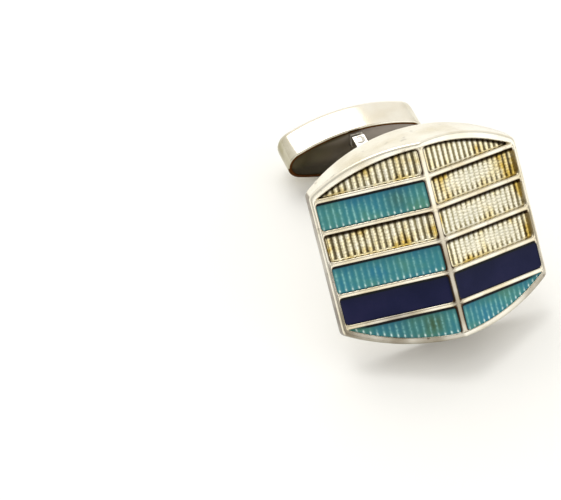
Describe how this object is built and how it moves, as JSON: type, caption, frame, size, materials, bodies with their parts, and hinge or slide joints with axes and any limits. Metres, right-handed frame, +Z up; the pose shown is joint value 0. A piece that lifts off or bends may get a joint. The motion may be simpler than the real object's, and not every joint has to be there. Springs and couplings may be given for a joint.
{
  "type": "cufflink",
  "caption": "Cufflink with a folded arched face of enamelled and reeded cells on a curved flat post, closed by an oval toggle that swivels on a rivet.",
  "frame": {"origin": "on the table, under the middle of the cufflink's box as it lies at rest", "axes": "+X along the rows of cells, +Y from the face towards the toggle, +Z up from the table"},
  "size_m": [0.0168, 0.0256, 0.015],
  "materials": {
    "polished_silver": "polished silver",
    "gilt_reeds": "gilt, reeded",
    "teal_enamel": "clear teal enamel over reeds",
    "navy_enamel": "opaque navy enamel",
    "spring_steel": "satin"
  },
  "bodies": {
    "head": {"head_shell": "polished_silver", "cell_grille": "polished_silver", "back_plate": "polished_silver", "post": "polished_silver", "hinge_pin": "polished_silver", "reeded_plate_left": "gilt_reeds", "reeded_plate_right": "gilt_reeds", "enamel_teal_left_2": "teal_enamel", "enamel_teal_left_4": "teal_enamel", "enamel_teal_left_6": "teal_enamel", "enamel_teal_right_6": "teal_enamel", "enamel_navy_left_5": "navy_enamel", "enamel_navy_right_5": "navy_enamel"},
    "toggle": {"toggle_cup": "polished_silver", "toggle_plate": "polished_silver", "hinge_lug": "polished_silver", "detent_leaf_upper": "spring_steel", "detent_leaf_lower": "spring_steel"}
  },
  "joints": [
    {"name": "toggle_swivel", "type": "hinge", "parent": "head", "child": "toggle", "pos_m": [0, 0.00887, 0.0023], "axis": [0, -0.0003, 1], "range_deg": [-90, 90]}
  ]
}
